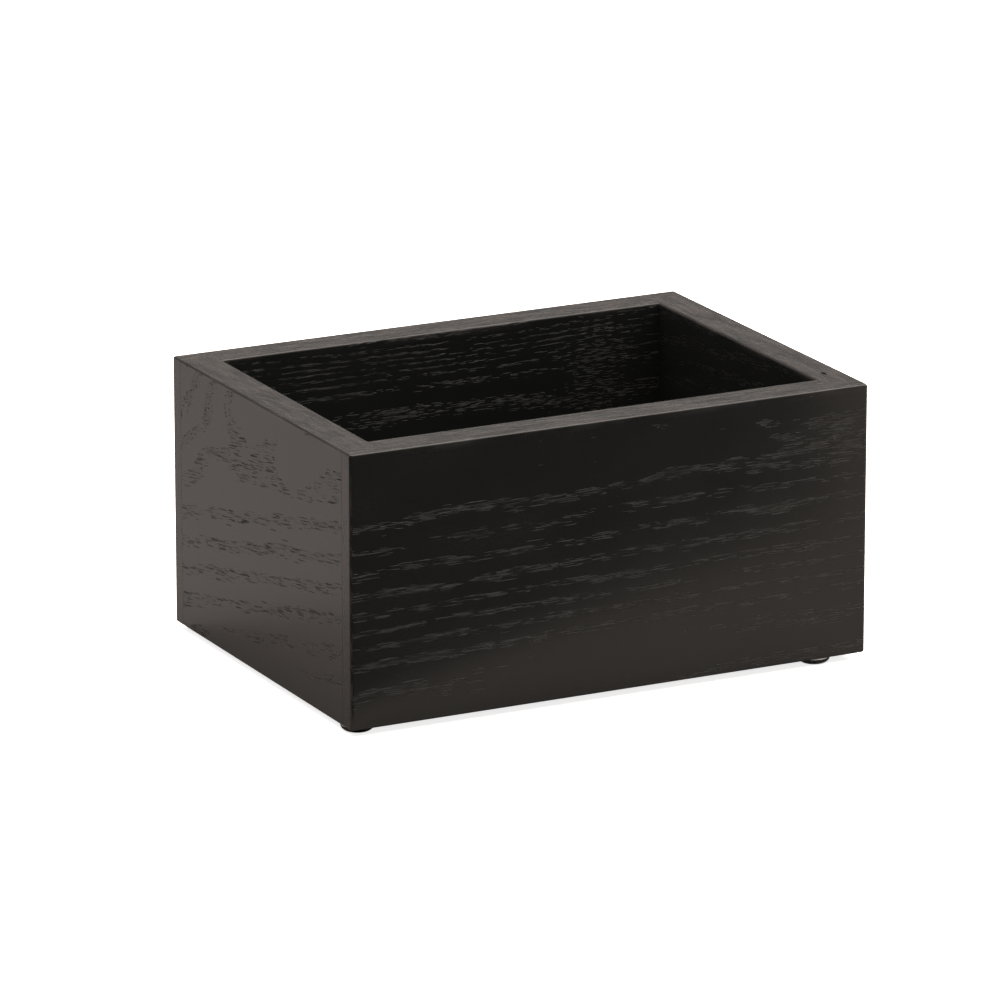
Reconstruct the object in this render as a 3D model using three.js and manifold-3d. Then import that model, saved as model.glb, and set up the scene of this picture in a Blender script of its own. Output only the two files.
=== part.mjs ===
// An open-topped box of solid, black-stained oak boards on four stick-on bumper feet.
//
// Units are millimetres and +Z is up. X runs along the long front, Y runs from the front to the
// back, and the origin is at the middle of the footprint, on the surface that the feet stand on.
//
// How it comes apart: the front and back boards are rebated at both ends, so that half of their
// thickness laps over the ends of the left and right boards. A groove runs round the inside of all
// four boards and holds the loose bottom panel clear of their lower edges. A clear rubber bumper,
// on its own disc of adhesive, is stuck to the lower edges near each corner.

import * as THREE from 'three';
import { mergeVertices } from 'three/addons/utils/BufferGeometryUtils.js';
import Module from 'manifold-3d';

const wasm = await Module();
wasm.setup();

// The assembled walls
const BOX_WIDTH = 240; // outside, along X
const BOX_DEPTH = 172; // outside, along Y
const BOARD_HEIGHT = 117;
const BOARD_THICKNESS = 16;
const LAP_THICKNESS = BOARD_THICKNESS / 2; // the lip that covers the end of a side board
const EDGE_RADIUS = 1; // the rim and the lower edges are sanded round after the glue-up
const CORNER_RADIUS = 1.5; // and so are the four upright corners
const EDGE_STEPS = 4; // facets in each quarter round

// The bottom panel and the groove that it floats in
const PANEL_THICKNESS = 6;
const GROOVE_DEPTH = 6;
const GROOVE_ABOVE_EDGE = 8; // from the lower edge of a board to its groove
const PANEL_PLAY = 0.3; // between the panel and the groove, on every side

// The bumper feet
const FOOT_RADIUS = 7;
const FOOT_FLAT_RADIUS = 3.4; // the flat that touches the surface
const DOME_HEIGHT = 2.6;
const ADHESIVE_THICKNESS = 0.4;
const ADHESIVE_RADIUS = 6.8;
const FOOT_SIDES = 48;
const DOME_STEPS = 8;

// How far each foot's middle is from the side of the box, and from its front or back. They are
// stuck on by hand, so no two sit alike, and the one at the front right is far in from its corner.
const FEET = {
  front_left: { side: -1, face: -1, fromSide: 7.5, fromFace: 10 },
  front_right: { side: 1, face: -1, fromSide: 21, fromFace: 7 },
  back_left: { side: -1, face: 1, fromSide: 12, fromFace: 9 },
  back_right: { side: 1, face: 1, fromSide: 10, fromFace: 9 },
};

// Places worked out from the sizes above
const OUTER_X = BOX_WIDTH / 2;
const OUTER_Y = BOX_DEPTH / 2;
const INNER_X = OUTER_X - BOARD_THICKNESS;
const INNER_Y = OUTER_Y - BOARD_THICKNESS;
const LAP_Y = OUTER_Y - LAP_THICKNESS;
const WALL_BOTTOM = DOME_HEIGHT + ADHESIVE_THICKNESS;
const WALL_TOP = WALL_BOTTOM + BOARD_HEIGHT;
const PANEL_BOTTOM = WALL_BOTTOM + GROOVE_ABOVE_EDGE + PANEL_PLAY;
const SAW_ALLOWANCE = 2; // a blank is cut this much too large where it will be sanded to shape

const OAK = { color: 0x1b1a19, roughness: 0.55, metalness: 0 };
const PANEL_OAK = { color: 0x181716, roughness: 0.6, metalness: 0 };
const CLEAR_RUBBER = { color: 0xb9bbb6, roughness: 0.12, metalness: 0 };
const ADHESIVE = { color: 0xd8d6cc, roughness: 0.5, metalness: 0 };

// Turns a closed geometry into a solid that can be cut and joined.
function toSolid(geometry) {
  const bare = geometry.clone();
  bare.deleteAttribute('normal');
  bare.deleteAttribute('uv');
  const merged = mergeVertices(bare);
  const mesh = new wasm.Mesh({
    numProp: 3,
    vertProperties: new Float32Array(merged.attributes.position.array),
    triVerts: new Uint32Array(merged.index.array),
  });
  return new wasm.Manifold(mesh);
}

// Turns a solid back into a geometry.
function toGeometry(solid) {
  const mesh = solid.getMesh();
  const geometry = new THREE.BufferGeometry();
  geometry.setAttribute('position', new THREE.BufferAttribute(new Float32Array(mesh.vertProperties), 3));
  geometry.setIndex(new THREE.BufferAttribute(new Uint32Array(mesh.triVerts), 1));
  geometry.computeVertexNormals();
  return geometry;
}

// A box from its lowest corner to its highest corner.
function boxBetween(low, high) {
  const size = high.map((value, axis) => value - low[axis]);
  const centre = high.map((value, axis) => (value + low[axis]) / 2);
  return new THREE.BoxGeometry(...size).translate(...centre);
}

function namedMesh(name, geometry, finish) {
  const mesh = new THREE.Mesh(geometry, new THREE.MeshStandardMaterial(finish));
  mesh.name = name;
  return mesh;
}

// A rectangle about the origin with round corners, drawn anticlockwise.
function roundedRectangle(halfX, halfY, radius) {
  const shape = new THREE.Shape();
  shape.absarc(halfX - radius, halfY - radius, radius, 0, Math.PI / 2);
  shape.absarc(radius - halfX, halfY - radius, radius, Math.PI / 2, Math.PI);
  shape.absarc(radius - halfX, radius - halfY, radius, Math.PI, 1.5 * Math.PI);
  shape.absarc(halfX - radius, radius - halfY, radius, 1.5 * Math.PI, 2 * Math.PI);
  shape.closePath();
  return shape;
}

function rectangleHole(halfX, halfY) {
  const path = new THREE.Path();
  path.moveTo(-halfX, -halfY);
  path.lineTo(-halfX, halfY);
  path.lineTo(halfX, halfY);
  path.lineTo(halfX, -halfY);
  path.closePath();
  return path;
}

// The four walls as one sanded frame: every board is the part of it that lies in its blank.
function sandedFrame() {
  const outline = roundedRectangle(OUTER_X, OUTER_Y, CORNER_RADIUS);
  outline.holes.push(rectangleHole(INNER_X, INNER_Y));
  const geometry = new THREE.ExtrudeGeometry(outline, {
    depth: BOARD_HEIGHT - 2 * EDGE_RADIUS,
    curveSegments: EDGE_STEPS,
    bevelEnabled: true,
    bevelThickness: EDGE_RADIUS,
    bevelSize: EDGE_RADIUS,
    bevelOffset: -EDGE_RADIUS,
    bevelSegments: EDGE_STEPS,
  });
  return toSolid(geometry.translate(0, 0, WALL_BOTTOM + EDGE_RADIUS));
}

// The slot that the groove leaves once the four boards are together.
function panelSlot() {
  const x = INNER_X + GROOVE_DEPTH;
  const y = INNER_Y + GROOVE_DEPTH;
  const bottom = WALL_BOTTOM + GROOVE_ABOVE_EDGE;
  const top = bottom + PANEL_THICKNESS + 2 * PANEL_PLAY;
  return toSolid(boxBetween([-x, -y, bottom], [x, y, top]));
}

// A front or back board, rebated at both ends; side is -1 for the front and 1 for the back.
function lappingBlank(side) {
  const x = OUTER_X + SAW_ALLOWANCE;
  const outside = side * (OUTER_Y + SAW_ALLOWANCE);
  const lapFace = side * LAP_Y;
  const inside = side * INNER_Y;
  const outline = new THREE.Shape();
  outline.moveTo(-x, outside);
  outline.lineTo(x, outside);
  outline.lineTo(x, lapFace);
  outline.lineTo(INNER_X, lapFace);
  outline.lineTo(INNER_X, inside);
  outline.lineTo(-INNER_X, inside);
  outline.lineTo(-INNER_X, lapFace);
  outline.lineTo(-x, lapFace);
  outline.closePath();
  const geometry = new THREE.ExtrudeGeometry(outline, {
    depth: BOARD_HEIGHT + 2 * SAW_ALLOWANCE,
    bevelEnabled: false,
  });
  return toSolid(geometry.translate(0, 0, WALL_BOTTOM - SAW_ALLOWANCE));
}

// A left or right board, which fits between the laps; side is -1 for the left and 1 for the right.
function sideBlank(side) {
  const outside = side * (OUTER_X + SAW_ALLOWANCE);
  const inside = side * INNER_X;
  const low = [Math.min(outside, inside), -LAP_Y, WALL_BOTTOM - SAW_ALLOWANCE];
  const high = [Math.max(outside, inside), LAP_Y, WALL_TOP + SAW_ALLOWANCE];
  return toSolid(boxBetween(low, high));
}

function addWalls(parent) {
  const frame = sandedFrame();
  const slot = panelSlot();
  const blanks = {
    front_board: lappingBlank(-1),
    back_board: lappingBlank(1),
    left_board: sideBlank(-1),
    right_board: sideBlank(1),
  };
  for (const [name, blank] of Object.entries(blanks)) {
    const board = blank.intersect(frame).subtract(slot);
    parent.add(namedMesh(name, toGeometry(board), OAK));
  }
}

function addBottomPanel(parent) {
  const x = INNER_X + GROOVE_DEPTH - PANEL_PLAY;
  const y = INNER_Y + GROOVE_DEPTH - PANEL_PLAY;
  const geometry = new THREE.BoxGeometry(2 * x, 2 * y, PANEL_THICKNESS);
  const panel = namedMesh('bottom_panel', geometry, PANEL_OAK);
  panel.position.z = PANEL_BOTTOM + PANEL_THICKNESS / 2;
  parent.add(panel);
}

// A low dome standing on its flat, with its wide face up.
function domeGeometry() {
  const profile = [new THREE.Vector2(0, 0)];
  for (let step = 0; step <= DOME_STEPS; step += 1) {
    const angle = (step / DOME_STEPS) * (Math.PI / 2);
    const radius = FOOT_FLAT_RADIUS + (FOOT_RADIUS - FOOT_FLAT_RADIUS) * Math.sin(angle);
    profile.push(new THREE.Vector2(radius, DOME_HEIGHT * (1 - Math.cos(angle))));
  }
  profile.push(new THREE.Vector2(0, DOME_HEIGHT));
  return new THREE.LatheGeometry(profile, FOOT_SIDES).rotateX(Math.PI / 2);
}

function adhesiveGeometry() {
  const disc = new THREE.CylinderGeometry(ADHESIVE_RADIUS, ADHESIVE_RADIUS, ADHESIVE_THICKNESS, FOOT_SIDES);
  return disc.rotateX(Math.PI / 2);
}

function addFeet(parent) {
  for (const [corner, place] of Object.entries(FEET)) {
    const foot = new THREE.Group();
    foot.position.x = place.side * (OUTER_X - place.fromSide);
    foot.position.y = place.face * (OUTER_Y - place.fromFace);
    foot.add(namedMesh(`foot_${corner}`, domeGeometry(), CLEAR_RUBBER));
    const adhesive = namedMesh(`foot_adhesive_${corner}`, adhesiveGeometry(), ADHESIVE);
    adhesive.position.z = DOME_HEIGHT + ADHESIVE_THICKNESS / 2;
    foot.add(adhesive);
    parent.add(foot);
  }
}

const box = new THREE.Group();
addWalls(box);
addBottomPanel(box);
addFeet(box);

export default box;
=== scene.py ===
"""An open-topped box of black-stained oak on four clear bumper feet, in a plain studio.

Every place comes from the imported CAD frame, in metres: +Z is up, X runs along the long front, and Y
runs from the front to the back. The four walls, the bottom panel, the feet and their adhesive discs
are built again in finer detail, and each stands for its CAD node.
"""

import math

import bmesh
import bpy
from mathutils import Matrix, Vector


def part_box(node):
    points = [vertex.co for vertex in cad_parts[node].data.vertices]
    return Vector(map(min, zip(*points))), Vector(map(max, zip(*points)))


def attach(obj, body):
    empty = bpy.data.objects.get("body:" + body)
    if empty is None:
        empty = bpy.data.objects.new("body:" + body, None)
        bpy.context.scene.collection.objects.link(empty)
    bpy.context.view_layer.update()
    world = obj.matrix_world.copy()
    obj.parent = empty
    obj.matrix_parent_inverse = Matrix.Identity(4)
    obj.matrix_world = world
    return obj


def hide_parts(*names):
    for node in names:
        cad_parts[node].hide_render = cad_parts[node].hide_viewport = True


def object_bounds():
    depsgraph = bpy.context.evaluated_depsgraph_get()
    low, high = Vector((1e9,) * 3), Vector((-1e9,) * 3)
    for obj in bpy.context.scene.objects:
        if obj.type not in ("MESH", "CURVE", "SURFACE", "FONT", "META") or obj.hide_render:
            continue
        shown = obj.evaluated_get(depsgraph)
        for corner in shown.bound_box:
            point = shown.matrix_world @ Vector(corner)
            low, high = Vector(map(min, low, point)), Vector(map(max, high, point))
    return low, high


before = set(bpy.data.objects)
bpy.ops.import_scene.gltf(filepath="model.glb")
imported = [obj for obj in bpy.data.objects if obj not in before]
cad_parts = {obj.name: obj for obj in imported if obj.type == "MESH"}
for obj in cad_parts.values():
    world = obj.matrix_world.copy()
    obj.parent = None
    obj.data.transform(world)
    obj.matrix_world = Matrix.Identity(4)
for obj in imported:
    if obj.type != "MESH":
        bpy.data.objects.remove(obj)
CAD_LOW, CAD_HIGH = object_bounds()
CAD_CENTRE = (CAD_LOW + CAD_HIGH) / 2

MM = 0.001

# The camera: a long lens, far away, above the box's front left corner.
CAMERA_AZIMUTH = math.radians(-26.9)
CAMERA_ELEVATION = math.radians(16.28)
CAMERA_DISTANCE = 3.27
CAMERA_LENS_MM = 279.4
CAMERA_AIM_OFFSET = Vector((-0.0064, 0.0042, 0.0029))  # from the middle of the box
CAMERA_NEAR = 0.1
CAMERA_FAR = 60.0

# The walls and the panel, as the CAD makes them.
LEFT_LOW, LEFT_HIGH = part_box("left_board")
FRONT_LOW, FRONT_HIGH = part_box("front_board")
PANEL_LOW, PANEL_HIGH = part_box("bottom_panel")
OUTER_X = FRONT_HIGH.x
OUTER_Y = -FRONT_LOW.y
THICKNESS = LEFT_HIGH.x - LEFT_LOW.x
INNER_X = OUTER_X - THICKNESS
INNER_Y = OUTER_Y - THICKNESS
LAP_Y = LEFT_HIGH.y
WALL_BOTTOM = LEFT_LOW.z
WALL_TOP = LEFT_HIGH.z
PANEL_PLAY = 0.3 * MM
EDGE_RADIUS = 1.0 * MM
CORNER_RADIUS = 1.5 * MM
PANEL_EDGE = 0.6 * MM
HAIRLINE = 0.08 * MM  # each board's edge along a glued joint is eased by this much
SAW_ALLOWANCE = 2.0 * MM  # how far a blank reaches past the sanded frame, which then shapes it

# One gaping pore in the rim of the right board, which waves and pinches along its length.
PIT_SIZE = Vector((1.5 * MM, 4.6 * MM, 2.4 * MM))
PIT_PLACE = Vector((OUTER_X - 8.5 * MM, OUTER_Y - 149 * MM, WALL_TOP))
PIT_PINCH = 0.25  # as a share of its width
PIT_PINCH_RATE = 9  # radians over its length
PIT_PINCH_START = 1
PIT_WAVE = 0.12
PIT_WAVE_RATE = 14

# The feet.
FOOT_FLAT_SHARE = 3.4 / 7.0  # the flat's radius, as a share of the foot's
ADHESIVE_EDGE = 0.05 * MM

# How finely the pieces are meshed.
ROUNDING_STEPS = 8
PANEL_EDGE_STEPS = 3
FOOT_STEPS = 14
TURNED_SIDES = 72
PIT_FINENESS = 4
SHARP_WOOD_ANGLE = math.radians(35)  # a fold of more than this stays sharp
SHARP_TURNED_ANGLE = math.radians(30)
LEVEL_ANGLE = math.radians(0.2)  # a fold of less than this is smoothed away
SAME_POINT = 0.001 * MM
ON_JOINT = 0.01 * MM
SQUARELY = 0.99

# The studio's light. Heights in the sky run from 0 at the horizon to 1 straight up.
SKY_TINT = (1.0, 0.92, 0.87)
SURROUND_FADE = (0.015, 0.10)  # the heights between which the surround dims
SURROUND_STRENGTH = (1.05, 0.315)  # below them and above them
CEILING_EDGE = (0.66, 0.88)  # the heights between which the bright ceiling sets in
CEILING_STRENGTH = 3.4
KEY_STRENGTH = 4.0
KEY_WIDTH = math.radians(35)
TOWARDS_KEY = Vector((1.0, 0.05, 0.75))

# The camera sees only the white cove. Light and reflections see only the darker floor under it.
COVE_TINT = (0.93, 0.87, 0.83)
COVE_GLOW = 0.80
COVE_START = 9.0  # how far out the cove begins to curve up into a white backdrop
COVE_RADIUS = 2.5
COVE_STEPS = 12
FLOOR_TINT = (0.30, 0.283, 0.273)
FLOOR_HALF_SIZE = 12.0
FLOOR_DROP = 0.2 * MM

# A dark card stands across the front, shows only in reflections, and keeps the front face dark.
CARD_TINT = (0.02, 0.02, 0.02)
CARD_DISTANCE = 0.157
CARD_HEIGHT = 0.20
CARD_LEFT = -0.9
CARD_RIGHT = 0.318


# ---------------------------------------------------------------------------------------------
# The camera


def place_camera():
    """Aims the camera at the box from its azimuth and elevation."""
    camera = bpy.data.objects.new("camera", bpy.data.cameras.new("camera"))
    bpy.context.scene.collection.objects.link(camera)
    backwards = Vector((
        math.sin(CAMERA_AZIMUTH) * math.cos(CAMERA_ELEVATION),
        -math.cos(CAMERA_AZIMUTH) * math.cos(CAMERA_ELEVATION),
        math.sin(CAMERA_ELEVATION),
    ))
    aim = CAD_CENTRE + CAMERA_AIM_OFFSET
    camera.location = aim + backwards * CAMERA_DISTANCE
    camera.rotation_euler = (-backwards).to_track_quat("-Z", "Y").to_euler()
    camera.data.lens = CAMERA_LENS_MM
    camera.data.clip_start = CAMERA_NEAR
    camera.data.clip_end = CAMERA_FAR
    bpy.context.scene.camera = camera


# ---------------------------------------------------------------------------------------------
# Mesh helpers


def add_mesh_object(name, bm, sharp_angle=None):
    """Turns a bmesh into a linked object, smooth but for folds sharper than sharp_angle, if given."""
    bmesh.ops.recalc_face_normals(bm, faces=bm.faces)
    mesh = bpy.data.meshes.new(name)
    bm.to_mesh(mesh)
    bm.free()
    if sharp_angle is not None:
        mesh.shade_smooth()
        mesh.set_sharp_from_angle(angle=sharp_angle)
    piece = bpy.data.objects.new(name, mesh)
    bpy.context.scene.collection.objects.link(piece)
    return piece


def skin(bm, lower, upper):
    """Joins two loops that have the same number of vertices with quads."""
    count = len(lower)
    for index in range(count):
        following = (index + 1) % count
        bm.faces.new((lower[index], lower[following], upper[following], upper[index]))


def rectangle(half_x, half_y):
    """The (x, y) corners of a rectangle round the middle of the box."""
    return ((half_x, half_y), (-half_x, half_y), (-half_x, -half_y), (half_x, -half_y))


def prism(name, outline, bottom, top):
    """An upright prism over an outline of (x, y) points."""
    bm = bmesh.new()
    lower = [bm.verts.new((x, y, bottom)) for x, y in outline]
    upper = [bm.verts.new((x, y, top)) for x, y in outline]
    skin(bm, lower, upper)
    bm.faces.new(lower)
    bm.faces.new(upper)
    return add_mesh_object(name, bm)


def revolve(name, profile, centre, lid=True):
    """Turns a profile of (radius, height) points round an upright axis through centre."""
    bm = bmesh.new()
    loops = []
    for radius, height in profile:
        loop = []
        for side in range(TURNED_SIDES):
            angle = 2 * math.pi * side / TURNED_SIDES
            x = centre.x + radius * math.cos(angle)
            y = centre.y + radius * math.sin(angle)
            loop.append(bm.verts.new((x, y, height)))
        loops.append(loop)
    for lower, upper in zip(loops, loops[1:]):
        skin(bm, lower, upper)
    bm.faces.new(loops[0])
    if lid:
        bm.faces.new(loops[-1])
    return add_mesh_object(name, bm, sharp_angle=SHARP_TURNED_ANGLE)


# ---------------------------------------------------------------------------------------------
# Material helpers


class Tree:
    """Adds nodes to one node tree. An input is a number, a tuple or another node's output."""

    def __init__(self, owner):
        owner.use_nodes = True
        self.tree = owner.node_tree
        self.tree.nodes.clear()

    def add(self, kind, inputs=None, **settings):
        node = self.tree.nodes.new(kind)
        for name, value in settings.items():
            setattr(node, name, value)
        for key, value in (inputs or {}).items():
            self.put(node.inputs[key], value)
        return node

    def put(self, socket, value):
        if isinstance(value, bpy.types.NodeSocket):
            self.tree.links.new(value, socket)
        else:
            socket.default_value = value

    def show(self, shader, output="ShaderNodeOutputMaterial"):
        """Makes a shader the one that the material or the world shows."""
        self.put(self.add(output).inputs["Surface"], shader.outputs[0])

    def math(self, operation, first, second=0.0, third=0.0):
        node = self.add("ShaderNodeMath", operation=operation)
        for socket, value in zip(node.inputs, (first, second, third)):
            self.put(socket, value)
        return node.outputs[0]

    def total(self, *values):
        result = values[0]
        for value in values[1:]:
            result = self.math("ADD", result, value)
        return result

    def product(self, *values):
        result = values[0]
        for value in values[1:]:
            result = self.math("MULTIPLY", result, value)
        return result

    def between(self, share, at_zero, at_one):
        """Runs straight from at_zero to at_one as share goes from 0 to 1."""
        return self.math("MULTIPLY_ADD", share, at_one - at_zero, at_zero)

    def steps(self, value, low, high, out_low=0.0, out_high=1.0):
        """Runs smoothly from out_low to out_high as value goes from low to high."""
        node = self.add("ShaderNodeMapRange", interpolation_type="SMOOTHSTEP")
        for key, number in (
            ("Value", value),
            ("From Min", low),
            ("From Max", high),
            ("To Min", out_low),
            ("To Max", out_high),
        ):
            self.put(node.inputs[key], number)
        return node.outputs[0]

    def vector(self, x, y, z):
        return self.add("ShaderNodeCombineXYZ", {"X": x, "Y": y, "Z": z}).outputs[0]

    def axes(self, vector):
        """A vector's three numbers, found by "X", "Y" and "Z"."""
        return self.add("ShaderNodeSeparateXYZ", {"Vector": vector}).outputs

    def noise(self, place, scale=1.0, detail=0.0, roughness=0.5):
        inputs = {"Vector": place, "Scale": scale, "Detail": detail, "Roughness": roughness}
        return self.add("ShaderNodeTexNoise", inputs, noise_dimensions="3D").outputs[0]

    def blend(self, factor, first, second):
        """Mixes two colours."""
        node = self.add("ShaderNodeMix", data_type="RGBA", blend_type="MIX")
        self.put(node.inputs[0], factor)
        self.put(node.inputs[6], first)
        self.put(node.inputs[7], second)
        return node.outputs[2]

    def blend_numbers(self, factor, first, second):
        return self.add("ShaderNodeMix", {0: factor, 2: first, 3: second}, data_type="FLOAT").outputs[0]

    def bump(self, height, distance):
        """The normal of a relief, where a height of 1 stands that far out."""
        inputs = {"Height": height, "Distance": distance, "Strength": 1.0}
        return self.add("ShaderNodeBump", inputs).outputs[0]


def colour(red, green, blue):
    return (red, green, blue, 1.0)


def new_material(piece, name):
    material = bpy.data.materials.new(name)
    piece.data.materials.clear()
    piece.data.materials.append(material)
    return material


# ---------------------------------------------------------------------------------------------
# The studio


def light_the_studio():
    """A pale surround, a large soft key at the right, two floors and a card at the front."""
    add_sky()
    add_key()
    add_cove()
    add_lighting_floor()
    add_front_card()


def add_sky():
    """Bright at the horizon, dim above it, and brightest overhead, where it lights the inside."""
    world = bpy.data.worlds.new("studio")
    bpy.context.scene.world = world
    tree = Tree(world)
    direction = tree.add("ShaderNodeTexCoord").outputs["Generated"]
    height = tree.axes(direction)["Z"]
    surround = tree.steps(height, *SURROUND_FADE, *SURROUND_STRENGTH)
    ceiling = tree.steps(height, *CEILING_EDGE, 0.0, CEILING_STRENGTH)
    strength = tree.total(surround, ceiling)
    background = tree.add("ShaderNodeBackground", {"Color": colour(*SKY_TINT), "Strength": strength})
    tree.show(background, output="ShaderNodeOutputWorld")


def add_key():
    key_data = bpy.data.lights.new("key", "SUN")
    key_data.energy = KEY_STRENGTH
    key_data.angle = KEY_WIDTH
    key = bpy.data.objects.new("key", key_data)
    bpy.context.scene.collection.objects.link(key)
    key.rotation_euler = TOWARDS_KEY.normalized().to_track_quat("Z", "Y").to_euler()


def show_only_to(thing, camera=False, diffuse=False, glossy=False, transmission=False, shadow=False):
    """Hides a thing from every kind of ray but the ones named."""
    thing.visible_camera = camera
    thing.visible_diffuse = diffuse
    thing.visible_glossy = glossy
    thing.visible_transmission = transmission
    thing.visible_shadow = shadow
    thing.visible_volume_scatter = False


def paint_matte(thing, name, tint):
    """One matte colour, for the studio only."""
    tree = Tree(new_material(thing, name))
    tree.show(tree.add("ShaderNodeBsdfDiffuse", {"Color": colour(*tint)}))


def add_cove():
    """A round white floor that curves up at its rim and is open above, so no view sees a horizon."""
    profile = [(COVE_START / COVE_STEPS, 0.0)]
    for step in range(COVE_STEPS + 1):
        angle = math.radians(90 * step / COVE_STEPS)
        radius = COVE_START + COVE_RADIUS * math.sin(angle)
        profile.append((radius, COVE_RADIUS * (1 - math.cos(angle))))
    cove = revolve("floor_seen", profile, Vector((0, 0, 0)), lid=False)
    show_only_to(cove, camera=True)
    tree = Tree(new_material(cove, "floor_seen"))
    shaded = tree.add("ShaderNodeBsdfDiffuse", {"Color": colour(*COVE_TINT)})
    glow = tree.add("ShaderNodeEmission", {"Color": colour(1.0, 1.0, 1.0), "Strength": COVE_GLOW})
    tree.show(tree.add("ShaderNodeAddShader", {0: shaded.outputs[0], 1: glow.outputs[0]}))


def add_lighting_floor():
    bm = bmesh.new()
    bmesh.ops.create_grid(bm, x_segments=1, y_segments=1, size=FLOOR_HALF_SIZE)
    bmesh.ops.translate(bm, verts=bm.verts, vec=(0, 0, -FLOOR_DROP))
    plane = add_mesh_object("floor_lit", bm)
    show_only_to(plane, diffuse=True, glossy=True, transmission=True, shadow=True)
    paint_matte(plane, "floor_lit", FLOOR_TINT)


def add_front_card():
    towards_camera = Vector((math.sin(CAMERA_AZIMUTH), -math.cos(CAMERA_AZIMUTH), 0))
    to_the_right = Vector((math.cos(CAMERA_AZIMUTH), math.sin(CAMERA_AZIMUTH), 0))
    foot = towards_camera * CARD_DISTANCE
    bm = bmesh.new()
    corners = []
    for along, up in ((CARD_LEFT, 0), (CARD_RIGHT, 0), (CARD_RIGHT, CARD_HEIGHT), (CARD_LEFT, CARD_HEIGHT)):
        corners.append(bm.verts.new(foot + to_the_right * along + Vector((0, 0, up))))
    bm.faces.new(corners)
    card = add_mesh_object("front_card", bm)
    show_only_to(card, glossy=True)
    paint_matte(card, "front_card", CARD_TINT)


# ---------------------------------------------------------------------------------------------
# Oak


# How each board was cut. Places on a board's broad face are in mm: along the grain from its start,
# and down from its upper edge.
#   along, across, through: which of x, y and z runs along the grain, down the face, through the board
#   start, turn: where along the grain the distances begin, and 1 or -1 for the way they grow
#   pitch: how far apart the growth rings are down the face; slope: how steeply they climb
#   first: how many rings lie above the upper edge, which sets where the first band falls
#   wander: how much the rings waver; pore: how pale an open pore is, partly the paler stain in it and
#       partly painted light and shade set per board: near the stain's darkness on the left board as painted
#       shade in the pores, paler on the others as painted light on the pores' walls
#   vessel: the length and height that each pore has to itself; crowding: how many of them are open
#   inside: how open the pores are on the inner face; seed: sets this board's chance patterns
#   bulges: where the rings swell into an arch: (middle along, down, reach along, down, rings)
# The rest are places given by their middle and their reach, along and down.
#   dots: where the fibres dive into the face, so that the pores are cut short
#   bare: where hardly any pores are open; crowd: where the inner face is full of them
BOARD_GRAIN = {
    "left_board": {
        "along": "Y", "across": "Z", "through": "X", "start": OUTER_Y, "turn": -1,
        # the left board's pores are kept about as dark as the stain: painted shade in them
        "pitch": 13.0, "slope": 0.21, "first": 0.05, "wander": 0.5, "pore": 0.014,
        "vessel": (11.0, 0.58), "crowding": 1.6, "inside": 1.0, "seed": 3,
        "bulges": [
            (68, -2, 52, 26, 3.2), (76, 2, 14, 14, 0.55), (156, 0, 40, 14, 0.8),
            (38, 36, 22, 10, 0.8), (114, 22, 22, 13, -0.4), (76, 27, 14, 9, -0.1),
        ],
        "dots": [(20, 5, 48, 36)],
        "bare": [(86, 4, 22, 12), (150, 112, 90, 9), (70, 112, 40, 7)],
        "crowd": [],
    },
    "front_board": {
        "along": "X", "across": "Z", "through": "Y", "start": -OUTER_X, "turn": 1,
        "pitch": 10.0, "slope": 0.02, "first": 0.06, "wander": 1.0, "pore": 0.055,
        "vessel": (14.0, 0.44), "crowding": 0.95, "inside": 1.0, "seed": 1,
        "bulges": [
            (120, 5, 900, 12, 1.9), (120, -3, 900, 6, 1.2), (120, 92, 400, 20, 1.2),
            (215, 3, 35, 7, -0.5), (212, 20, 30, 6, 0.25), (214, 33, 32, 6, -0.35),
        ],
        "dots": [],
        "bare": [(60, 14, 110, 13), (122, 104, 78, 12), (60, 115, 90, 6)],
        "crowd": [],
    },
    "back_board": {
        "along": "X", "across": "Z", "through": "Y", "start": -OUTER_X, "turn": 1,
        "pitch": 18.0, "slope": 0.02, "first": 0.10, "wander": 0.8, "pore": 0.075,
        "vessel": (6.5, 0.42), "crowding": 1.1, "inside": 1.0, "seed": 2,
        "bulges": [(120, 0, 260, 14, -6.2), (185, 34, 45, 16, -0.4)],
        "dots": [],
        "bare": [],
        "crowd": [(194, 26, 20, 30)],
    },
    "right_board": {
        "along": "Y", "across": "Z", "through": "X", "start": OUTER_Y, "turn": -1,
        "pitch": 11.0, "slope": 0.12, "first": 0.4, "wander": 1.0, "pore": 0.045,
        "vessel": (9.0, 0.46), "crowding": 0.9, "inside": 0.3, "seed": 4,
        "bulges": [(60, 60, 60, 40, 0.9)],
        "dots": [],
        "bare": [],
        "crowd": [],
    },
    "bottom_panel": {
        "along": "X", "across": "Y", "through": "Z", "start": -OUTER_X, "turn": 1,
        "pitch": 14.0, "slope": 0.03, "first": 0.0, "wander": 1.0, "pore": 0.050,
        "vessel": (10.0, 0.50), "crowding": 0.8, "inside": 1.0, "seed": 6,
        "bulges": [(120, 80, 90, 30, 1.5)],
        "dots": [],
        "bare": [],
        "crowd": [],
    },
}

# In what follows, a SIZE is a length along the grain and a height across it, in mm, and two numbers
# called LEVELS, RISE, FALL or EDGE are where something sets in and where it is complete.

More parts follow.
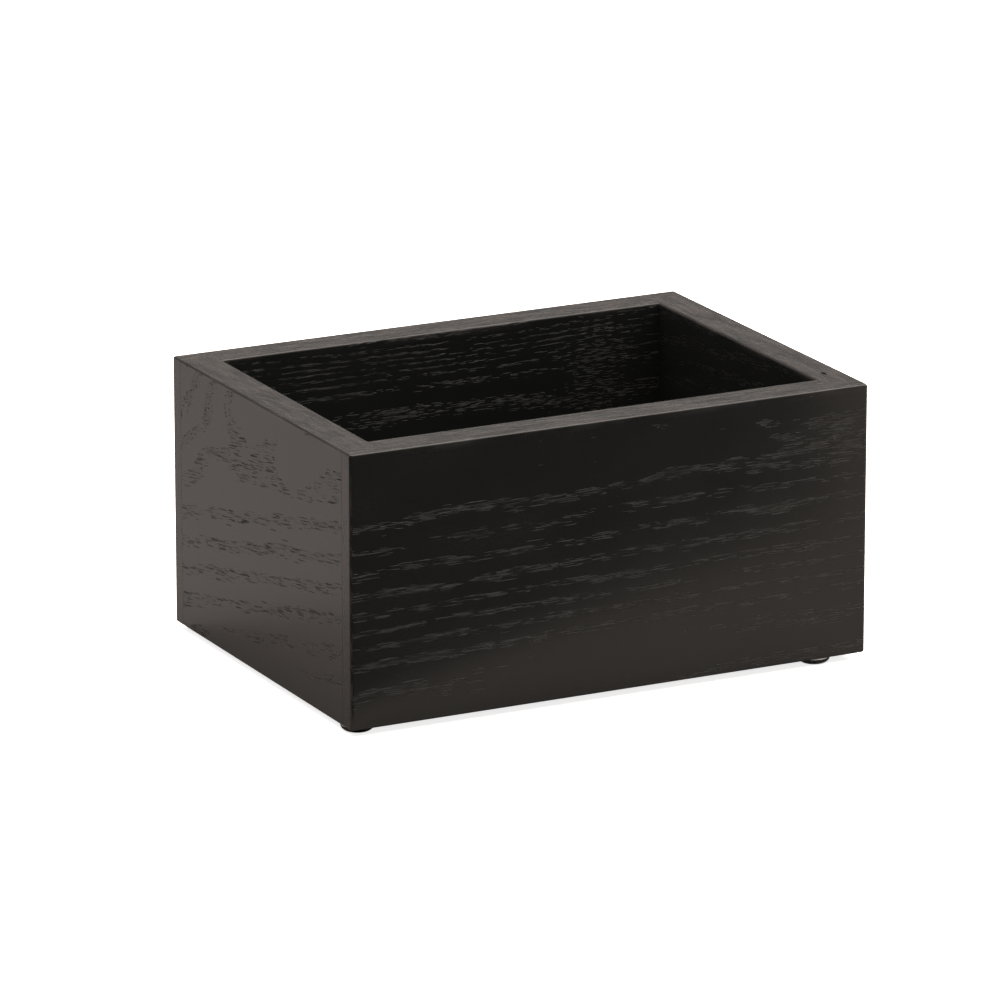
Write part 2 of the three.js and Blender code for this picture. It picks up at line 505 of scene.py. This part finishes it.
# The growth rings, and the porous band that begins each.
RING_PITCH_THROUGH = 2.6  # mm between rings through a board's thickness
RING_WAVES = ((40, 18, 0.42), (9, 4, 0.22))  # length, height, and how many rings each wave shifts
RING_WAVE_SEED = 7.3
BAND_RISE = (0.0, 0.05)  # as shares of a year's growth
BAND_FALL = (0.28, 0.56)
WEAKEST_BAND = 0.8  # a year's band has a strength between this and 1
GAP_SIZE = (22, 6)
GAP_SEED = 11.7
GAP_LEVELS = (0.3, 0.5)
BAND_IN_GAP = 0.5  # how much of a band is left in a gap
BARE_EDGE = (0.3, 0.6)
CROWD_EDGE = (0.3, 0.9)
CROWD_STRENGTH = 0.75
INNER_FACE_EDGE = (THICKNESS / MM - 3, THICKNESS / MM - 1)  # mm of depth in the board

# The open pores. Radii are shares of the cell that each pore has to itself.
FIBRE_SLOPE_SHARE = 0.6  # the fibres climb less steeply than the rings
PORE_RADIUS = (0.24, 0.40)
PORE_SOFT_EDGE = 0.04
PORE_OPENNESS = (0.5, 1.0)
LATE_WOOD_SHARE = 0.004
DIVE_EDGE = (0.35, 0.6)
DOT_SIZE = (2.1, 1.0)
STREAK_SIZE = (6.0, 0.42)
STREAK_LEVEL = (0.88, 0.62)  # in the late and in the early wood
STREAK_SOFT_EDGE = 0.035
STREAK_OPENNESS = 0.3
PORES_LEFT_ON_ROUNDS = 0.2

# Where the sanding shows. A face's squareness is 1 where it looks straight along an axis.
FLAT_SQUARENESS = (0.80, 0.99)
RIM_SQUARENESS = (0.85, 0.95)
UPRIGHT_SQUARENESS = (0.2, 0.5)
RIM_DEPTH = 1.0  # mm down from the top
BELOW_RIM_EDGE = (0.8, 3.6)
BELOW_RIM_WEAR = 0.8
RUBBED_SIZE = (30.0, 13.0)
RUBBED_LEVELS = (0.42, 0.66)
MOTTLE_SIZE = (18.0, 5.0)
MOTTLE_SEED = 3.0
MOTTLE_LEVELS = (0.36, 0.66)

# The space round the gaping pore, as mm down from the rim and mm of depth in the board.
PIT_TOP_EDGE = (0.05, 0.3)
PIT_BOTTOM_EDGE = (3.0, 4.0)
PIT_OUTER_EDGE = (2.0, 4.0)
PIT_INNER_EDGE = (12.0, 14.0)

# The stain.
FIBRE_SIZE = (14.0, 0.22)
FIBRE_LEVELS = (0.35, 0.7)
CLOUD_SIZE = (60.0, 28.0)
CLOUD_LEVELS = (0.3, 0.7)
THICK_STAIN = (0.0104, 0.0116, 0.0110)
THIN_STAIN = (0.0122, 0.0135, 0.0128)
FIBRE_STAIN = (0.0150, 0.0155, 0.0145)
FIBRE_STRENGTH = 0.10
PORE_HUE = (0.92, 1.0, 0.96)
SANDED_RIM = (0.031, 0.0275, 0.025)
RUBBED_EDGE = (0.042, 0.040, 0.037)
RUBBED_STRENGTH = 0.6
# painted shade: the gaping pore's walls are coloured near-black for the shade inside the deep hole
PAINTED_PIT_SHADE = (0.004, 0.004, 0.004)

# The lacquer, and the relief in mm that each mark of the wood makes in it.
LACQUER_ROUGHNESS = (0.22, 0.25)  # where the stain is thick and where it is thin
ADDED_ROUGHNESS = {"streaky": 0.02, "early": 0.03, "worn": 0.04}
PORE_ROUGHNESS = 0.95
LACQUER_SPECULAR = 0.46
LACQUER_TINT = (1.0, 0.94, 0.91)
RELIEF = {"pores": -0.30, "early": -0.006, "fibres": 0.003, "clouds": 0.04, "mottle": 0.9}


def board_places(tree, cut):
    """Distances in mm on and in the board, from its object coordinates."""
    place = tree.add("ShaderNodeTexCoord").outputs["Object"]
    axes = tree.axes(place)
    from_start = tree.math("SUBTRACT", axes[cut["along"]], cut["start"])
    along = tree.math("MULTIPLY", from_start, cut["turn"] / MM)
    upper = OUTER_Y if cut["across"] == "Y" else WALL_TOP
    down = tree.math("MULTIPLY", tree.math("SUBTRACT", upper, axes[cut["across"]]), 1 / MM)
    outer = {"X": OUTER_X, "Y": OUTER_Y, "Z": PANEL_HIGH.z}[cut["through"]]
    sideways = tree.math("ABSOLUTE", axes[cut["through"]])
    depth = tree.math("MULTIPLY", tree.math("SUBTRACT", outer, sideways), 1 / MM)
    fibre = tree.math("ADD", down, tree.product(along, cut["slope"] * FIBRE_SLOPE_SHARE))
    return {"along": along, "down": down, "depth": depth, "fibre": fibre}


def on_face(tree, board, size, seed):
    """A place on the broad face, for patterns of that size."""
    length, height = size
    along = tree.product(board["along"], 1 / length)
    return tree.vector(along, tree.product(board["down"], 1 / height), seed)


def in_wood(tree, board, size, seed=0.0):
    """A place inside the board, for patterns of that size, as deep as they are high."""
    length, height = size
    return tree.vector(
        tree.math("MULTIPLY_ADD", board["along"], 1 / length, seed),
        tree.product(board["fibre"], 1 / height),
        tree.product(board["depth"], 1 / height),
    )


def spot(tree, board, place):
    """1 in the middle of a place on the face, falling smoothly to 0 beyond its reach."""
    middle_along, middle_down, reach_along, reach_down = place
    far_along = tree.math("DIVIDE", tree.math("SUBTRACT", board["along"], middle_along), reach_along)
    far_down = tree.math("DIVIDE", tree.math("SUBTRACT", board["down"], middle_down), reach_down)
    far = tree.total(tree.product(far_along, far_along), tree.product(far_down, far_down))
    return tree.math("EXPONENT", tree.math("MULTIPLY", far, -1.0))


def on_inner_face(tree, board, elsewhere, there):
    """Runs from one number to another just below a board's inner face."""
    return tree.steps(board["depth"], *INNER_FACE_EDGE, elsewhere, there)


def growth_rings(tree, board, cut):
    """How many years lie between the upper edge and here, with the year's growth as a fraction."""
    rings = tree.total(
        tree.math("MULTIPLY_ADD", board["down"], 1 / cut["pitch"], cut["first"]),
        tree.product(board["along"], cut["slope"] / cut["pitch"]),
        tree.product(board["depth"], 1 / RING_PITCH_THROUGH),
    )
    for *place, amount in cut["bulges"]:
        rings = tree.total(rings, tree.product(spot(tree, board, place), amount))
    for *size, amount in RING_WAVES:
        wave = tree.noise(on_face(tree, board, size, cut["seed"] * RING_WAVE_SEED))
        sway = tree.math("SUBTRACT", wave, 0.5)
        rings = tree.total(rings, tree.product(sway, amount * cut["wander"]))
    return rings


def early_wood(tree, board, cut):
    """1 in the porous band at the start of each year's ring, and 0 in the dense wood after it."""
    rings = growth_rings(tree, board, cut)
    phase = tree.math("FRACT", rings)
    year = tree.math("FLOOR", rings)
    luck = tree.add("ShaderNodeTexWhiteNoise", {"W": year}, noise_dimensions="1D").outputs["Value"]
    gaps = tree.noise(on_face(tree, board, GAP_SIZE, cut["seed"] * GAP_SEED))
    early = tree.product(
        tree.steps(phase, *BAND_RISE),
        tree.steps(phase, *BAND_FALL, 1.0, 0.0),
        tree.steps(luck, 0.0, 1.0, WEAKEST_BAND, 1.0),
        tree.steps(gaps, *GAP_LEVELS, BAND_IN_GAP, 1.0),
    )
    for place in cut["bare"]:
        early = tree.product(early, tree.steps(spot(tree, board, place), *BARE_EDGE, 1.0, 0.0))
    for place in cut["crowd"]:
        crowd = tree.steps(spot(tree, board, place), *CROWD_EDGE, 0.0, CROWD_STRENGTH)
        early = tree.math("MAXIMUM", early, tree.product(crowd, on_inner_face(tree, board, 0.0, 1.0)))
    return early


def pores_of_size(tree, board, size, share):
    """Spindles, at most one to a cell of that size; share is how many of the cells hold one.

    The cells' length is their seed too, so that two sizes never line up.
    """
    cell = tree.add(
        "ShaderNodeTexVoronoi",
        {"Vector": in_wood(tree, board, size, seed=size[0]), "Scale": 1.0},
        voronoi_dimensions="3D",
        feature="F1",
    )
    luck = tree.add("ShaderNodeSeparateColor", {"Color": cell.outputs["Color"]}).outputs
    radius = tree.between(luck["Green"], *PORE_RADIUS)
    inner = tree.math("SUBTRACT", radius, PORE_SOFT_EDGE)
    inside = tree.steps(cell.outputs["Distance"], inner, radius, 1.0, 0.0)
    openness = tree.between(luck["Blue"], *PORE_OPENNESS)
    return tree.product(inside, openness, tree.math("LESS_THAN", luck["Red"], share))


def fine_streaks(tree, board, early):
    """Streaks where a stretched noise rises past a level, which is lower in the early wood."""
    wave = tree.noise(in_wood(tree, board, STREAK_SIZE, seed=STREAK_SIZE[0]))
    level = tree.between(early, *STREAK_LEVEL)
    return tree.steps(tree.math("SUBTRACT", wave, level), 0.0, STREAK_SOFT_EDGE)


def open_pores(tree, board, cut, early):
    """Long open vessels, crowded in the early wood and few elsewhere, with finer ones between."""
    share = tree.math("MULTIPLY_ADD", early, cut["crowding"], LATE_WOOD_SHARE)
    coarse = pores_of_size(tree, board, cut["vessel"], share)
    for place in cut["dots"]:
        dive = tree.steps(spot(tree, board, place), *DIVE_EDGE)
        dots = pores_of_size(tree, board, DOT_SIZE, share)
        keep_long = tree.math("SUBTRACT", 1.0, dive)
        coarse = tree.total(tree.product(coarse, keep_long), tree.product(dots, dive))
    fine = fine_streaks(tree, board, early)
    return tree.math("MAXIMUM", coarse, tree.product(fine, STREAK_OPENNESS))


def squareness(tree):
    """How squarely a face looks along each of x, y and z, whichever way round."""
    facing = tree.axes(tree.add("ShaderNodeNewGeometry").outputs["Normal"])
    return [tree.math("ABSOLUTE", facing[axis]) for axis in "XYZ"]


def turned_edges(tree, square):
    """1 on the sanded rounds and 0 on the flat faces."""
    squarest = tree.math("MAXIMUM", tree.math("MAXIMUM", square[0], square[1]), square[2])
    return tree.steps(squarest, *FLAT_SQUARENESS, 1.0, 0.0)


def worn_edges(tree, board, square, turned):
    """1 in rubbed patches of the sanded edges, and fading out just below the rim."""
    near_rim = tree.steps(board["down"], *BELOW_RIM_EDGE, BELOW_RIM_WEAR, 0.0)
    below_rim = tree.product(near_rim, tree.steps(square[2], *UPRIGHT_SQUARENESS, 1.0, 0.0))
    rubbed = tree.noise(in_wood(tree, board, RUBBED_SIZE), detail=4.0)
    return tree.product(tree.math("MAXIMUM", turned, below_rim), tree.steps(rubbed, *RUBBED_LEVELS))


def rim_mottle(tree, board, square):
    """The uneven sanding of the rim: its mask and its height, both 0 on every other face."""
    at_the_top = tree.math("LESS_THAN", board["down"], RIM_DEPTH)
    on_rim = tree.product(tree.steps(square[2], *RIM_SQUARENESS), at_the_top)
    height = tree.noise(in_wood(tree, board, MOTTLE_SIZE, MOTTLE_SEED), detail=4.0, roughness=0.6)
    return tree.product(on_rim, tree.steps(height, *MOTTLE_LEVELS)), tree.product(on_rim, height)


def in_the_pit(tree, board):
    """1 inside the wood just below the rim, where only the gaping pore has a surface; its walls get painted
    shade there and are made dull.
    """
    below_rim = tree.product(
        tree.steps(board["down"], *PIT_TOP_EDGE),
        tree.steps(board["down"], *PIT_BOTTOM_EDGE, 1.0, 0.0),
    )
    between_faces = tree.product(
        tree.steps(board["depth"], *PIT_OUTER_EDGE),
        tree.steps(board["depth"], *PIT_INNER_EDGE, 1.0, 0.0),
    )
    return tree.product(below_rim, between_faces)


def oak_marks(tree, board, cut, has_pit):
    """What marks the wood: the name of each mark, and how strong it is at every point."""
    early = early_wood(tree, board, cut)
    square = squareness(tree)
    turned = turned_edges(tree, square)
    fibres = tree.noise(in_wood(tree, board, FIBRE_SIZE, cut["seed"]), detail=2.0)
    clouds = tree.noise(in_wood(tree, board, CLOUD_SIZE, cut["seed"]), detail=2.0)
    flecks, mottle = rim_mottle(tree, board, square)
    pores = tree.product(
        open_pores(tree, board, cut, early),
        tree.between(turned, 1.0, PORES_LEFT_ON_ROUNDS),
        on_inner_face(tree, board, 1.0, cut["inside"]),
    )
    return {
        "early": early,
        "pores": pores,
        "fibres": fibres,
        "streaky": tree.steps(fibres, *FIBRE_LEVELS),
        "clouds": clouds,
        "cloudy": tree.steps(clouds, *CLOUD_LEVELS),
        "worn": worn_edges(tree, board, square, turned),
        "flecks": flecks,
        "mottle": mottle,
        "pit": in_the_pit(tree, board) if has_pit else 0.0,
    }


def weighted(tree, marks, weights):
    """The marks that the weights name, each times its weight."""
    return [tree.product(marks[name], weight) for name, weight in weights.items()]


def oak_colour(tree, marks, pore_tone_and_painted_light):
    """Black stain, paler in the pores and where it is sanded or rubbed; the pores' tone also holds painted
    light and shade, and the gaping pore's walls hold painted shade.
    """
    base = tree.blend(marks["cloudy"], colour(*THICK_STAIN), colour(*THIN_STAIN))
    base = tree.blend(tree.product(marks["streaky"], FIBRE_STRENGTH), base, colour(*FIBRE_STAIN))
    # pores take each board's pore tone: paler stain, with painted shade in them on the left board and
    # painted light on their walls on the other boards
    base = tree.blend(marks["pores"], base, colour(*(pore_tone_and_painted_light * share for share in PORE_HUE)))
    base = tree.blend(marks["flecks"], base, colour(*SANDED_RIM))
    base = tree.blend(tree.product(marks["worn"], RUBBED_STRENGTH), base, colour(*RUBBED_EDGE))
    # painted shade on the walls of the gaping pore
    return tree.blend(marks["pit"], base, colour(*PAINTED_PIT_SHADE))


def oak_roughness(tree, marks):
    """Satin where the lacquer lies, and dull in the open pores."""
    smoothest = tree.between(marks["cloudy"], *LACQUER_ROUGHNESS)
    lacquer = tree.total(smoothest, *weighted(tree, marks, ADDED_ROUGHNESS))
    dull = tree.math("MAXIMUM", marks["pores"], marks["pit"])
    return tree.blend_numbers(dull, lacquer, PORE_ROUGHNESS)


def oak_material(piece, name):
    """Black-stained open-pore oak with a thin satin lacquer."""
    cut = BOARD_GRAIN[name]
    tree = Tree(new_material(piece, name + "_oak"))
    board = board_places(tree, cut)
    marks = oak_marks(tree, board, cut, has_pit=name == "right_board")
    relief = tree.total(*weighted(tree, marks, RELIEF))
    tree.show(tree.add("ShaderNodeBsdfPrincipled", {
        "Base Color": oak_colour(tree, marks, cut["pore"]),
        "Roughness": oak_roughness(tree, marks),
        "Normal": tree.bump(relief, MM),
        "Specular IOR Level": LACQUER_SPECULAR,
        "Specular Tint": colour(*LACQUER_TINT),
    }))


# ---------------------------------------------------------------------------------------------
# The walls and the panel


def rounded_loop(bm, half_x, half_y, radius, height):
    """One closed loop of vertices round a rectangle with round corners."""
    loop = []
    centres = ((1, 1, 0), (-1, 1, 90), (-1, -1, 180), (1, -1, 270))
    for side_x, side_y, start in centres:
        for step in range(ROUNDING_STEPS + 1):
            angle = math.radians(start + 90 * step / ROUNDING_STEPS)
            x = side_x * (half_x - radius) + radius * math.cos(angle)
            y = side_y * (half_y - radius) + radius * math.sin(angle)
            loop.append(bm.verts.new((x, y, height)))
    return loop


def square_loop(bm, half_x, half_y, height):
    return [bm.verts.new((x, y, height)) for x, y in rectangle(half_x, half_y)]


def cap_ring(bm, outer, inner):
    """Fills the flat ring between an outer and an inner loop."""
    edges = []
    for loop in (outer, inner):
        for index, vertex in enumerate(loop):
            edges.append(bm.edges.get((vertex, loop[(index + 1) % len(loop)])))
    bmesh.ops.triangle_fill(bm, use_beauty=True, edges=edges)


def sanded_frame():
    """The four walls as one sanded frame; every board is the part of it inside its own blank."""
    bm = bmesh.new()
    levels = []
    for step in range(ROUNDING_STEPS + 1):
        angle = math.radians(90 * step / ROUNDING_STEPS)
        inset = EDGE_RADIUS * (1 - math.sin(angle))
        levels.append((inset, WALL_BOTTOM + EDGE_RADIUS * (1 - math.cos(angle))))
    levels += [(inset, WALL_TOP + WALL_BOTTOM - height) for inset, height in reversed(levels)]
    outer_loops = []
    inner_loops = []
    for inset, height in levels:
        radius = CORNER_RADIUS - inset
        outer_loops.append(rounded_loop(bm, OUTER_X - inset, OUTER_Y - inset, radius, height))
        inner_loops.append(square_loop(bm, INNER_X + inset, INNER_Y + inset, height))
    for loops in (outer_loops, inner_loops):
        for lower, upper in zip(loops, loops[1:]):
            skin(bm, lower, upper)
    cap_ring(bm, outer_loops[0], inner_loops[0])
    cap_ring(bm, outer_loops[-1], inner_loops[-1])
    return add_mesh_object("sanded_frame", bm)


def panel_groove():
    """The space that the groove leaves round the panel's edges once the boards are together."""
    outline = rectangle(PANEL_HIGH.x + PANEL_PLAY, PANEL_HIGH.y + PANEL_PLAY)
    return prism("groove", outline, PANEL_LOW.z - PANEL_PLAY, PANEL_HIGH.z + PANEL_PLAY)


def open_pit():
    """The shape of the gaping pore: a long ball that pinches and waves along its length."""
    bm = bmesh.new()
    bmesh.ops.create_icosphere(bm, subdivisions=PIT_FINENESS, radius=0.5)
    bmesh.ops.scale(bm, verts=bm.verts, vec=PIT_SIZE)
    for vertex in bm.verts:
        along = vertex.co.y / PIT_SIZE.y
        vertex.co.x *= 1 + PIT_PINCH * math.sin(PIT_PINCH_RATE * along + PIT_PINCH_START)
        vertex.co.x += PIT_WAVE * PIT_SIZE.x * math.sin(PIT_WAVE_RATE * along)
    bmesh.ops.translate(bm, verts=bm.verts, vec=PIT_PLACE)
    return add_mesh_object("pit", bm)


def lapping_outline(side):
    """The plan of a front or back blank, rebated at both ends: side is -1 in front, 1 behind."""
    reach = OUTER_X + SAW_ALLOWANCE
    outside = side * (OUTER_Y + SAW_ALLOWANCE)
    lap = side * LAP_Y
    inside = side * INNER_Y
    return (
        (-reach, outside), (reach, outside), (reach, lap), (INNER_X, lap),
        (INNER_X, inside), (-INNER_X, inside), (-INNER_X, lap), (-reach, lap),
    )


def side_outline(side):
    """The plan of a left or right blank, which fits between the laps: side is -1 at the left."""
    outside = side * (OUTER_X + SAW_ALLOWANCE)
    inside = side * INNER_X
    return ((outside, -LAP_Y), (inside, -LAP_Y), (inside, LAP_Y), (outside, LAP_Y))


def carve(blank, operation, tool):
    """Applies one boolean to a blank."""
    cut = blank.modifiers.new("cut", "BOOLEAN")
    cut.operation = operation
    cut.solver = "EXACT"
    cut.object = tool
    graph = bpy.context.evaluated_depsgraph_get()
    result = bpy.data.meshes.new_from_object(blank.evaluated_get(graph))
    blank.modifiers.clear()
    blank.data = result


def on_joint(face, side_board):
    """True for a face that is glued to the next board."""
    middle = face.calc_center_median()
    on_lap = abs(abs(middle.y) - LAP_Y) < ON_JOINT and abs(face.normal.y) > SQUARELY
    on_step = abs(abs(middle.x) - INNER_X) < ON_JOINT and abs(face.normal.x) > SQUARELY
    beyond_inside = abs(middle.y) > INNER_Y
    return on_lap or (on_step and beyond_inside and not side_board)


def ease_joints(board, side_board):
    """Leaves a hairline where this board's surface meets the next one's."""
    bm = bmesh.new()
    bm.from_mesh(board.data)
    bmesh.ops.remove_doubles(bm, verts=bm.verts, dist=SAME_POINT)
    bmesh.ops.dissolve_limit(bm, angle_limit=LEVEL_ANGLE, verts=bm.verts, edges=bm.edges)
    joint = {face for face in bm.faces if on_joint(face, side_board)}
    rim = [edge for edge in bm.edges if sum(face in joint for face in edge.link_faces) == 1]
    bmesh.ops.bevel(bm, geom=rim, offset=HAIRLINE, segments=1, affect="EDGES", clamp_overlap=True)
    bmesh.ops.recalc_face_normals(bm, faces=bm.faces)
    bm.to_mesh(board.data)
    bm.free()
    board.data.shade_smooth()
    board.data.set_sharp_from_angle(angle=SHARP_WOOD_ANGLE)
    flatten = board.modifiers.new("flat faces", "WEIGHTED_NORMAL")
    flatten.keep_sharp = True


def add_walls():
    """Saws the four boards out of one sanded frame, so that their outsides line up exactly."""
    stock = sanded_frame()
    pit = open_pit()
    groove = panel_groove()
    plans = {
        "front_board": lapping_outline(-1),
        "back_board": lapping_outline(1),
        "left_board": side_outline(-1),
        "right_board": side_outline(1),
    }
    for name, outline in plans.items():
        board = prism("oak_" + name, outline, WALL_BOTTOM - SAW_ALLOWANCE, WALL_TOP + SAW_ALLOWANCE)
        carve(board, "INTERSECT", stock)
        carve(board, "DIFFERENCE", groove)
        if name == "right_board":
            carve(board, "DIFFERENCE", pit)
        ease_joints(board, side_board=name in ("left_board", "right_board"))
        oak_material(board, name)
        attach(board, "root")
        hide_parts(name)
    for scrap in (stock, groove, pit):
        bpy.data.objects.remove(scrap)


def add_bottom_panel():
    panel = prism("oak_bottom_panel", rectangle(PANEL_HIGH.x, PANEL_HIGH.y), PANEL_LOW.z, PANEL_HIGH.z)
    ease = panel.modifiers.new("eased edges", "BEVEL")
    ease.width = PANEL_EDGE
    ease.segments = PANEL_EDGE_STEPS
    ease.limit_method = "ANGLE"
    panel.data.shade_smooth()
    panel.data.set_sharp_from_angle(angle=SHARP_WOOD_ANGLE)
    oak_material(panel, "bottom_panel")
    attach(panel, "root")
    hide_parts("bottom_panel")


# ---------------------------------------------------------------------------------------------
# The feet


# A SCALE is how many of a pattern's features fit in a metre.
RUBBER_HAZE_SCALE = 900.0
RUBBER_SCUFF_SCALE = 3500.0
RUBBER_SCUFF_DEPTH = 0.004 * MM
RUBBER_TINT_LEVELS = (0.35, 0.65)
CLEAR_RUBBER = (0.93, 0.93, 0.90)
HAZY_RUBBER = (0.86, 0.86, 0.82)
RUBBER_ROUGHNESS_LEVELS = (0.4, 0.7)
RUBBER_ROUGHNESS = (0.05, 0.14)
RUBBER_IOR = 1.49
ADHESIVE_SCALE = 700.0
ADHESIVE_RELIEF = 0.01 * MM
ADHESIVE_TINT_LEVELS = (0.4, 0.6)
THIN_ADHESIVE = (0.80, 0.79, 0.75)
THICK_ADHESIVE = (0.90, 0.89, 0.86)
ADHESIVE_ROUGHNESS_LEVELS = (0.3, 0.7)
ADHESIVE_ROUGHNESS = (0.35, 0.55)
ADHESIVE_CLEARNESS = 0.15


def rubber_material(piece):
    """Clear glossy rubber with a faint haze and fine scuffs."""
    tree = Tree(new_material(piece, "clear_rubber"))
    place = tree.add("ShaderNodeTexCoord").outputs["Object"]
    haze = tree.noise(place, RUBBER_HAZE_SCALE, detail=3.0)
    scuffs = tree.noise(place, RUBBER_SCUFF_SCALE, detail=2.0)
    hazy = tree.steps(haze, *RUBBER_TINT_LEVELS)
    tree.show(tree.add("ShaderNodeBsdfPrincipled", {
        "Base Color": tree.blend(hazy, colour(*CLEAR_RUBBER), colour(*HAZY_RUBBER)),
        "Roughness": tree.steps(haze, *RUBBER_ROUGHNESS_LEVELS, *RUBBER_ROUGHNESS),
        "Normal": tree.bump(scuffs, RUBBER_SCUFF_DEPTH),
        "IOR": RUBBER_IOR,
        "Transmission Weight": 1.0,
    }))


def adhesive_material(piece):
    """Milky adhesive in thicker and thinner patches."""
    tree = Tree(new_material(piece, "milky_adhesive"))
    place = tree.add("ShaderNodeTexCoord").outputs["Object"]
    patches = tree.noise(place, ADHESIVE_SCALE, detail=3.0)
    thick = tree.steps(patches, *ADHESIVE_TINT_LEVELS)
    tree.show(tree.add("ShaderNodeBsdfPrincipled", {
        "Base Color": tree.blend(thick, colour(*THIN_ADHESIVE), colour(*THICK_ADHESIVE)),
        "Roughness": tree.steps(patches, *ADHESIVE_ROUGHNESS_LEVELS, *ADHESIVE_ROUGHNESS),
        "Normal": tree.bump(patches, ADHESIVE_RELIEF),
        "Transmission Weight": ADHESIVE_CLEARNESS,
    }))


def add_foot(node):
    """A low dome of clear rubber, which stands on its flat."""
    low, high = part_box(node)
    radius = (high.x - low.x) / 2
    flat = radius * FOOT_FLAT_SHARE
    height = high.z - low.z
    profile = []
    for step in range(FOOT_STEPS + 1):
        angle = math.radians(90 * step / FOOT_STEPS)
        ring = flat + (radius - flat) * math.sin(angle)
        profile.append((ring, low.z + height * (1 - math.cos(angle))))
    foot = revolve("clear_" + node, profile, (low + high) / 2)
    rubber_material(foot)
    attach(foot, "root")
    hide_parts(node)


def add_adhesive(node):
    """The thin disc between a foot and the boards."""
    low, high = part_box(node)
    radius = (high.x - low.x) / 2
    profile = (
        (radius - ADHESIVE_EDGE, low.z),
        (radius, low.z + ADHESIVE_EDGE),
        (radius, high.z - ADHESIVE_EDGE),
        (radius - ADHESIVE_EDGE, high.z),
    )
    disc = revolve("milky_" + node, profile, (low + high) / 2)
    adhesive_material(disc)
    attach(disc, "root")
    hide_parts(node)


def add_feet():
    for corner in ("front_left", "front_right", "back_left", "back_right"):
        add_foot("foot_" + corner)
        add_adhesive("foot_adhesive_" + corner)


# ---------------------------------------------------------------------------------------------


place_camera()
light_the_studio()
add_walls()
add_bottom_panel()
add_feet()
bpy.context.scene.view_settings.view_transform = "Standard"
